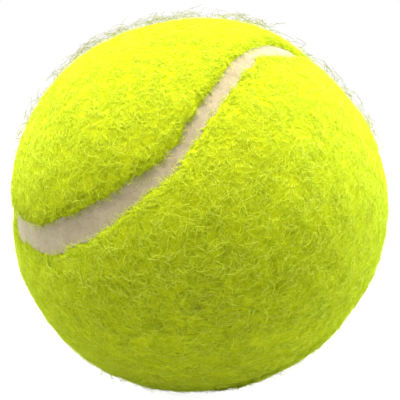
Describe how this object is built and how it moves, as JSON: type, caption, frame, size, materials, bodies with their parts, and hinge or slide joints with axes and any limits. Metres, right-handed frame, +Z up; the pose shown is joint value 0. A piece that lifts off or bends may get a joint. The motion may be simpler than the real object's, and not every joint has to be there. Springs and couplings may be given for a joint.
{
  "type": "padel ball",
  "caption": "Pressurised ball with a hollow rubber core under interlocking felt panels, joined along a winding recessed seam.",
  "frame": {"origin": "the ball's centre", "axes": "+Z up from the flat patch that the ball rests on, -Y towards the picture's camera, +X to its right; the core's joint lies in the XY plane"},
  "size_m": [0.0655, 0.0656, 0.0653],
  "materials": {
    "felt_yellow": "raised wool and nylon nap, bright yellow-green",
    "seam_rubber": "matt beige seam adhesive",
    "core_rubber": "buffed moulded rubber, dark grey",
    "rubber_cement": "dried cream rubber cement"
  },
  "bodies": {
    "root": {"core_half_upper": "core_rubber", "core_half_lower": "core_rubber", "core_joint_cement": "rubber_cement", "panel_a_cement": "rubber_cement", "panel_b_cement": "rubber_cement", "felt_panel_a": "felt_yellow", "felt_panel_b": "felt_yellow", "seam_strip": "seam_rubber"}
  },
  "joints": []
}
